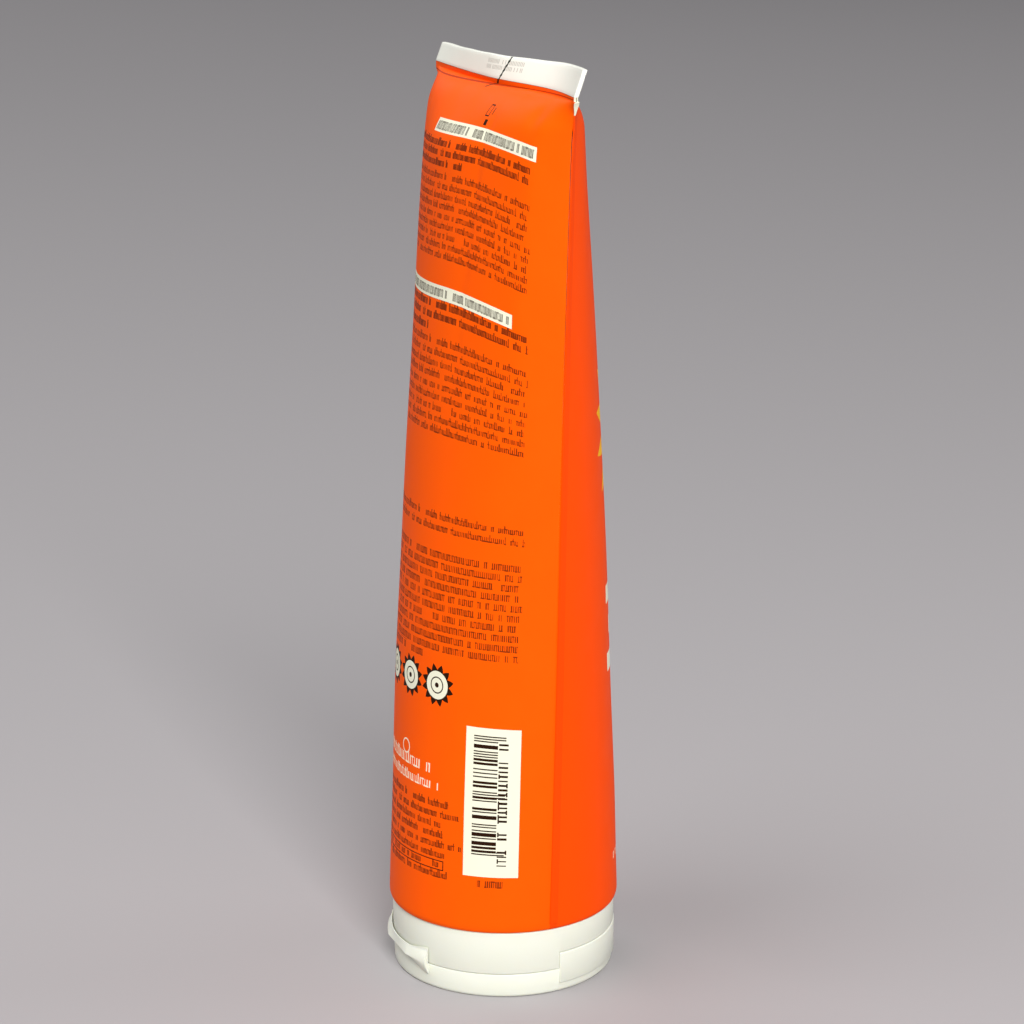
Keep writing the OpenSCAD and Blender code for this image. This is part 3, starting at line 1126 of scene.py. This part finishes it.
# Only one block is 1 at a place, so a sum over all blocks gives that block's numbers.
sums = [(0, 0, 0)] * 3
for first, rows, pitch, right, left, dash_w, height, stem, tall, ragged, light in type_blocks:
    here = patch(right, left, first - (rows - 0.5) * pitch, first + 0.5 * pitch)
    numbers = (
        (-1 / pitch, first / pitch + 0.5, 1 / dash_w),
        (height / 2 / pitch, stem, tall / pitch),
        (right, 1 / ragged, light),
    )
    for k in range(3):
        sums[k] = add(inks, VECTOR, [here, numbers[k], sums[k]], operation="MULTIPLY_ADD")
per_mm, row_start, dashes_per_mm = add(inks, "ShaderNodeSeparateXYZ", [sums[0]]).outputs
half_height, stem_share, tall_share = add(inks, "ShaderNodeSeparateXYZ", [sums[1]]).outputs
right_end, ragged_share, light_ink = add(inks, "ShaderNodeSeparateXYZ", [sums[2]]).outputs
print("Type is laid out in", len(type_blocks), "blocks")

# %% Rows of type
row_offset = 0.37
dark_strength = 0.8
row_at = add(inks, MATH, [sheet_h, per_mm, row_start], operation="MULTIPLY_ADD")
row = add(inks, MATH, [row_at], operation="FLOOR")
down = add(inks, MATH, [row_at], operation="FRACT")
row_shift = add(inks, MATH, [row, row_offset], operation="MULTIPLY")
dash_at = add(inks, MATH, [sheet_s, dashes_per_mm, row_shift], operation="MULTIPLY_ADD")
type_ink = dashes(dash_at, row, down, half_height, stem_share, tall_share)
from_end = add(inks, MATH, [sheet_s, right_end], operation="SUBTRACT")
end_share = add(inks, MATH, [from_end, ragged_share], operation="MULTIPLY")
row_noise = add(inks, "ShaderNodeTexWhiteNoise", {"W": row}, noise_dimensions="1D")
in_row = add(inks, MATH, [end_share, row_noise.outputs["Value"]], operation="GREATER_THAN")
type_ink = add(inks, MATH, [type_ink, in_row], operation="MULTIPLY")
light_type = add(inks, MATH, [type_ink, light_ink], operation="MULTIPLY")
dark_type = cut_out(type_ink, light_ink)
dark_type = add(inks, MATH, [dark_type, dark_strength], operation="MULTIPLY")


# %% [markdown]
# A pattern of bars stands on an ivory patch beside the seam. A retail pattern has 95
# modules, and here each is 0.28 mm. White noise picks the dark ones, so it carries no
# number. Two modules in every seven stay light, so no bar is wider than three, and pairs
# of longer bars mark the two ends and the middle. A column of dashes stands where the
# digits would be.

# %% Bar pattern
bars_low = 32.7
bars_right = 11.2
bars_left = 16.5
guard_right = 9.5
bar_module = 0.279
bar_count = 95
bars_high = bars_low + bar_count * bar_module
light_modules = 0.35
module_at = add(inks, MATH, [sheet_h, 1 / bar_module, -bars_low / bar_module], operation="MULTIPLY_ADD")
module = add(inks, MATH, [module_at], operation="FLOOR")
module_noise = add(inks, "ShaderNodeTexWhiteNoise", {"W": module}, noise_dimensions="1D")
noisy_bar = add(inks, MATH, [module_noise.outputs["Value"], light_modules], operation="GREATER_THAN")
seventh = add(inks, MATH, [module, 7.0], operation="FLOORED_MODULO")
first_gap = add(inks, MATH, [seventh, 0.0, 0.1], operation="COMPARE")
second_gap = add(inks, MATH, [seventh, 4.0, 0.1], operation="COMPARE")
dark_bar = cut_out(noisy_bar, joined(first_gap, second_gap))
plain_bars = [dark_bar, patch(bars_right, bars_left, bars_low, bars_high)]
plain_bars = add(inks, MATH, plain_bars, operation="MULTIPLY")
half_module = add(inks, MATH, [module, 0.5], operation="MULTIPLY")
even_share = add(inks, MATH, [half_module], operation="FRACT")
even_bar = add(inks, MATH, [even_share, 0.25], operation="LESS_THAN")
guard_places = []
for start in (0, 46, 92):
    guard_low = bars_low + start * bar_module
    guard_high = bars_low + (start + 3) * bar_module
    guard_places.append(patch(guard_right, bars_left, guard_low, guard_high))
guards = joined(*guard_places)
guard_bars = add(inks, MATH, [even_bar, guards], operation="MULTIPLY")
bars = joined(cut_out(plain_bars, guards), guard_bars)

digit_w = 2.0
digit_h = 2.5
digit_start = 8.7
digit_column = patch(8.9, 11.0, 29.0, 58.0)
digit_at = add(inks, MATH, [sheet_h, 2 / digit_w], operation="MULTIPLY")
digit_down = add(inks, MATH, [sheet_s, 1 / digit_h, -digit_start / digit_h], operation="MULTIPLY_ADD")
digit_ink = dashes(digit_at, 5.0, digit_down, 0.4, 0.2, 0.0)
digit_ink = add(inks, MATH, [digit_ink, digit_column], operation="MULTIPLY")
digit_ink = cut_out(digit_ink, guards)
print("Bar pattern is", round(bars_high - bars_low, 1), "mm long")


# %% [markdown]
# Three small suns with black rays stand in a row. They are one drawing repeated: the
# distance along the row is cut into equal lengths, and each is measured from its middle.
# The ray pattern comes from the angle round that middle.

# %% Small suns
sun_step = 9.3
sun_first = 26.4
sun_h = 68.2
sun_white_r = 3.05
sun_rim_r = 3.3
sun_ray = 1.35
sun_rays = 12
sun_ring_r = 1.7
sun_ring_half = 0.14
sun_dot_r = 0.55


def rays(angle, count):
    """0 at the middle of each ray, growing to 1 halfway to the next."""
    turns = add(inks, MATH, [angle, count / math.tau], operation="MULTIPLY")
    share = add(inks, MATH, [turns], operation="FRACT")
    middle = add(inks, MATH, [share, 0.5], operation="SUBTRACT")
    near = add(inks, MATH, [middle], operation="ABSOLUTE")
    return add(inks, MATH, [near, 2.0], operation="MULTIPLY")


sun_at = add(inks, MATH, [sheet_s, 1 / sun_step, 0.5 - sun_first / sun_step], operation="MULTIPLY_ADD")
sun_share = add(inks, MATH, [sun_at], operation="FRACT")
sun_x = add(inks, MATH, [sun_share, sun_step, -sun_step / 2], operation="MULTIPLY_ADD")
sun_y = add(inks, MATH, [sheet_h, sun_h], operation="SUBTRACT")
sun_place = add(inks, "ShaderNodeCombineXYZ", {"X": sun_x, "Y": sun_y})
sun_r = add(inks, VECTOR, [sun_place], operation="LENGTH")
sun_angle = add(inks, MATH, [sun_y, sun_x], operation="ARCTAN2")
sun_right = sun_first - sun_step / 2
sun_row = patch(sun_right, sun_right + 3 * sun_step, sun_h - sun_step / 2, sun_h + sun_step / 2)
ray_edge = [rays(sun_angle, sun_rays), -sun_ray, sun_rim_r + sun_ray]
ray_edge = add(inks, MATH, ray_edge, operation="MULTIPLY_ADD")
in_rays = add(inks, MATH, [sun_r, ray_edge], operation="LESS_THAN")
in_white = add(inks, MATH, [sun_r, sun_white_r], operation="LESS_THAN")
inner_ring = add(inks, MATH, [sun_r, sun_ring_r, sun_ring_half], operation="COMPARE")
inner_dot = add(inks, MATH, [sun_r, sun_dot_r], operation="LESS_THAN")
sun_ink = joined(cut_out(in_rays, in_white), inner_ring, inner_dot)
sun_ink = add(inks, MATH, [sun_ink, sun_row], operation="MULTIPLY")
sun_white = add(inks, MATH, [in_white, sun_row], operation="MULTIPLY")
print("Suns are", round(2 * (sun_rim_r + sun_ray), 1), "mm across")


# %% [markdown]
# The front can't be seen in the photograph apart from its very edge, where yellow tips
# and the ends of white rows show. It gets a plain design of its own: a large yellow sun
# with sixteen rays, four white bars below it, and one row of small white dashes.

# %% Front of the sheet
front_s = 1.5 * half_round
front_h = 121.0
disc_r = 12.0
ring_in = 14.0
ring_out = 15.2
ray_in = 17.2
ray_out = 23.4
ray_slope = 10.0
front_rays = 16
bar_high = 87.0
bar_pitch = 7.5
bar_t = 4.0
bar_halves = (17.5, 14.0, 17.5, 9.0)

front_place = add(inks, VECTOR, [sheet_mm, (front_s, front_h, 0)], operation="SUBTRACT")
front_axes = add(inks, "ShaderNodeSeparateXYZ", [front_place])
front_r = add(inks, VECTOR, [front_place], operation="LENGTH")
front_angle = add(inks, MATH, [front_axes.outputs["Y"], front_axes.outputs["X"]], operation="ARCTAN2")
disc = add(inks, MATH, [front_r, disc_r], operation="LESS_THAN")
ring_line = [front_r, (ring_in + ring_out) / 2, (ring_out - ring_in) / 2]
ring_line = add(inks, MATH, ring_line, operation="COMPARE")
ray_end = [rays(front_angle, front_rays), -ray_slope, ray_out]
ray_end = add(inks, MATH, ray_end, operation="MULTIPLY_ADD")
before_end = add(inks, MATH, [front_r, ray_end], operation="LESS_THAN")
after_start = add(inks, MATH, [front_r, ray_in], operation="GREATER_THAN")
front_ray = add(inks, MATH, [before_end, after_start], operation="MULTIPLY")
front_yellow = joined(disc, ring_line, front_ray)
front_bars = []
for k, bar_half in enumerate(bar_halves):
    top = bar_high - k * bar_pitch
    front_bars.append(patch(front_s - bar_half, front_s + bar_half, top - bar_t, top))
front_bars = joined(*front_bars)
print("Front sun is", 2 * ray_out, "mm across its rays")


# %% [markdown]
# A few small marks are left: a thin ring above the lowest block, a box with a square near
# the crimp, a box round one row of type and the foot of the eye mark that machines read.
# The jaws leave a dent under the crimp, and a darker line along it is painted shade. The end
# of the sheet stays bare at the fold, in a small corner of the front.

# %% Small marks
mark_ring_s = 36.5
mark_ring_h = 52.3
mark_ring_r = 1.5
mark_ring_half = 0.16
mark_slope = 0.578
mark_foot = 37.27
mark_half = 0.36
corner_foot = 188.3
corner_slope = 0.6

small_ring = add(inks, VECTOR, [sheet_mm, (mark_ring_s, mark_ring_h, 0)], operation="DISTANCE")
small_ring = add(inks, MATH, [small_ring, mark_ring_r, mark_ring_half], operation="COMPARE")
pictogram = joined(
    patch(24.8, 25.9, 184.3, 185.4),
    box_line(25.4, 27.0, 185.9, 188.1, 0.24),
    patch(24.3, 24.6, 186.4, 187.6),
)
row_box = box_line(23.0, 58.0, 27.7, 29.9, 0.22)
mark_line = add(inks, MATH, [sheet_h, mark_slope, sheet_s], operation="MULTIPLY_ADD")
mark_line = [mark_line, mark_foot + mark_slope * seal_z, mark_half]
mark_line = add(inks, MATH, mark_line, operation="COMPARE")
mark_below = add(inks, MATH, [mark_line, patch(30, 45, 190.5, 192.3)], operation="MULTIPLY")
# Painted shade: a thin darker line along the jaws' dent under the crimp.
jaw_shade_line = patch(0, 2 * half_round, jaw_z - 0.2, jaw_z)
fold_gap = add(inks, MATH, [2 * half_round, sheet_s], operation="SUBTRACT")
corner_low = add(inks, MATH, [fold_gap, corner_slope, corner_foot], operation="MULTIPLY_ADD")
corner = add(inks, MATH, [sheet_h, corner_low], operation="GREATER_THAN")
print("Small marks are drawn")


# %% [markdown]
# All parts of the print are now laid over the orange, from the lowest ink to the highest.
# The inside of the wall is the bare laminate. The orange is not perfectly even: under the
# varnish a print has a slight mottle, here drawn 6 mm wide, as well as fine orange peel
# in the varnish itself. Its real grain of about 0.2 mm is drawn at 0.6 mm, to show at all.
# Right of the seam the orange is deeper the whole way down, and that is painted shade: the
# orange deepens slowly over the front, so the two ends of the sheet differ where they meet.

# %% Sleeve finish
bare_below = -10.0
lap_strength = 0.5

upper_strip = patch(6.9, 46.7, 181.2, 183.8)
lower_strip = patch(10.8, 56.0, 148.3, 151.2)
bar_patch = patch(6.4, 18.3, 27.8, 60.9)
corner_back = patch(0.0, 0.3, 190.6, 192.4)
strips = joined(upper_strip, lower_strip, bar_patch)
ivory_parts = joined(strips, corner, corner_back, front_bars, sun_white)
dark_parts = joined(dark_type, bars, digit_ink, sun_ink, pictogram, row_box, mark_below)
light_parts = joined(light_type, small_ring)
inside = add(inks, MATH, [sheet_h, bare_below], operation="LESS_THAN")

object_place = add(inks, "ShaderNodeTexCoord").outputs["Object"]
mottle = add(inks, "ShaderNodeTexNoise", {"Vector": object_place, "Scale": 1 / (6 * MM), "Detail": 2.0})
front_edge = add(
    inks,
    "ShaderNodeMapRange",
    {
        "Value": sheet_h,
        "From Min": lap_low,
        "From Max": lap_high,
        "To Min": 2 * half_round + lap_foot + lap_half,
        "To Max": 2 * half_round + lap_top + lap_half,
    },
    interpolation_type="SMOOTHSTEP",
)
on_front = add(inks, MATH, [sheet_s, front_edge], operation="LESS_THAN")
lap_middle = add(inks, MATH, [front_edge, lap_half], operation="SUBTRACT")
lap_strip = add(inks, MATH, [sheet_s, lap_middle, lap_half], operation="COMPARE")
lap_tone = add(inks, MATH, [lap_strip, lap_strength], operation="MULTIPLY")
# Painted shade: the front grows a deeper orange from the far fold towards the seam.
front_shade_share = {"Value": sheet_s, "From Min": half_round, "From Max": 1.7 * half_round}
front_shade_share = add(inks, "ShaderNodeMapRange", front_shade_share)
front_painted_shade = add(inks, MATH, [front_shade_share, on_front], operation="MULTIPLY")
colour = {"Factor": mottle.outputs["Fac"], "A": linear("#FF5900"), "B": linear("#FF5D00")}
colour = add(inks, "ShaderNodeMix", colour, data_type="RGBA")
for ink, hex_colour in (
    # painted shade over the front
    (front_painted_shade, "#FF4E00"),
    (lap_tone, "#F04200"),
    (jaw_shade_line, "#B83600"),
    (ivory_parts, "#F1EFD6"),
    (front_yellow, "#FFC21A"),
    (light_parts, "#FFE9CC"),
    (dark_parts, "#2B1508"),
    (inside, "#EFEDE4"),
):
    laid = {"Factor": ink, "A": colour, "B": linear(hex_colour)}
    colour = add(inks, "ShaderNodeMix", laid, data_type="RGBA")
inks.links.new(colour.outputs["Result"], print_shader.inputs["Base Color"])

roughen(inks, print_shader, size=0.6, depth=0.02, strength=0.22)
varnish = add(
    inks,
    "ShaderNodeMapRange",
    {"Value": mottle.outputs["Fac"], "From Min": 0.3, "From Max": 0.7, "To Min": 0.5, "To Max": 0.58},
)
inks.links.new(varnish.outputs["Result"], print_shader.inputs["Roughness"])
wear(sleeve, sheet_paint)
wear(lap, sheet_paint)
print("Print has", len(inks.nodes), "nodes")


# %% [markdown]
# The crimped band is the same laminate without print. Hot jaws pressed it, so it is
# smoother than the sleeve and has two faint rows of pressed marks, which say nothing
# here. The marks are shallow dents, painted a little darker as their shade. A thin dark line crosses its
# back: machines read it to turn each tube the same way.
# The marks follow the band itself, so they are placed by its own width and height.

# %% Band finish
band_paint, tree, shader = material("tube laminate, bare, pressed", "#F8F8EB", 0.34)
band_place = add(tree, "ShaderNodeTexCoord").outputs["Object"]
band_mm = add(tree, VECTOR, {0: band_place, "Scale": 1 / MM}, operation="SCALE")
band_axes = add(tree, "ShaderNodeSeparateXYZ", [band_mm])
band_x = band_axes.outputs["X"]
up_scale = 1 / math.cos(band_lean)
band_up = [band_axes.outputs["Z"], up_scale, -seal_z * up_scale]
band_up = add(tree, MATH, band_up, operation="MULTIPLY_ADD")

# %% Pressed marks
pressed_pitch = 1.25
pressed_start = 1.7
pressed_w = 0.55
pressed_x = -2.4
pressed_reach = 7.6
pressed_half_w = 0.28
pressed_half_h = 0.36
pressed_depth = 0.8
missing_marks = 0.25

mark_row_at = [band_up, 1 / pressed_pitch, -pressed_start / pressed_pitch]
mark_row_at = add(tree, MATH, mark_row_at, operation="MULTIPLY_ADD")
mark_row = add(tree, MATH, [mark_row_at], operation="FLOOR")
mark_down = add(tree, MATH, [mark_row_at], operation="FRACT")
mark_at = add(tree, MATH, [band_x, 1 / pressed_w], operation="MULTIPLY")
mark_cell = add(tree, MATH, [mark_at], operation="FLOOR")
mark_across = add(tree, MATH, [mark_at], operation="FRACT")
mark_seed = add(tree, "ShaderNodeCombineXYZ", {"X": mark_cell, "Y": mark_row, "Z": 2.0})
mark_noise = add(tree, "ShaderNodeTexWhiteNoise", {"Vector": mark_seed})
mark_there = add(tree, MATH, [mark_noise.outputs["Value"], missing_marks], operation="GREATER_THAN")
mark_x = add(tree, MATH, [mark_across, 0.5, pressed_half_w], operation="COMPARE")
mark_y = add(tree, MATH, [mark_down, 0.5, pressed_half_h], operation="COMPARE")
mark_span = add(tree, MATH, [band_x, pressed_x, pressed_reach], operation="COMPARE")
mark_rows = add(tree, MATH, [mark_row, 0.5, 0.6], operation="COMPARE")
pressed = mark_there
for limit in (mark_x, mark_y, mark_span, mark_rows):
    pressed = add(tree, MATH, [pressed, limit], operation="MULTIPLY")

# %% Eye mark
eye_foot = mark_foot - seal_w
eye_pitch = 1.03
eye_first = 0.85
eye_phase = math.pi / 2 - math.tau * eye_first / eye_pitch
eye_half = 0.29
eye_swelling = 0.09
back_slope = 0.27
back_depth = 0.93

eye_at = add(tree, MATH, [band_up, mark_slope, band_x], operation="MULTIPLY_ADD")
eye_turn = add(tree, MATH, [band_up, math.tau / eye_pitch, eye_phase], operation="MULTIPLY_ADD")
eye_swell = add(tree, MATH, [eye_turn], operation="SINE")
eye_w = add(tree, MATH, [eye_swell, eye_swelling, eye_half], operation="MULTIPLY_ADD")
eye_line = add(tree, MATH, [eye_at, eye_foot, eye_w], operation="COMPARE")
# The band leans and waves, so its back is told from its front by its depth at the mark.
eye_side = add(tree, MATH, [band_up, back_slope, band_axes.outputs["Y"]], operation="MULTIPLY_ADD")
on_back = add(tree, MATH, [eye_side, back_depth], operation="GREATER_THAN")
eye_mark = add(tree, MATH, [eye_line, on_back], operation="MULTIPLY")

# %% Band colour and relief
creases = {"Vector": band_place, "Scale": 1 / (2.2 * MM), "Detail": 3.0}
creases = add(tree, "ShaderNodeTexNoise", creases)
band_colour = linear("#F8F8EB")
# The pressed marks are painted darker as shade in their dents; the eye mark is ink.
for part, hex_colour in ((pressed, "#CFCDC0"), (eye_mark, "#1D2416")):
    laid = {"Factor": part, "A": band_colour, "B": linear(hex_colour)}
    band_colour = add(tree, "ShaderNodeMix", laid, data_type="RGBA")
band_height = [pressed, -pressed_depth, creases.outputs["Fac"]]
band_height = add(tree, MATH, band_height, operation="MULTIPLY_ADD")
band_bump = add(tree, "ShaderNodeBump", {"Height": band_height, "Strength": 0.5, "Distance": 0.05 * MM})
tree.links.new(band_bump.outputs["Normal"], shader.inputs["Normal"])
tree.links.new(band_colour.outputs["Result"], shader.inputs["Base Color"])
wear(band, band_paint)
print("Band finish is on")
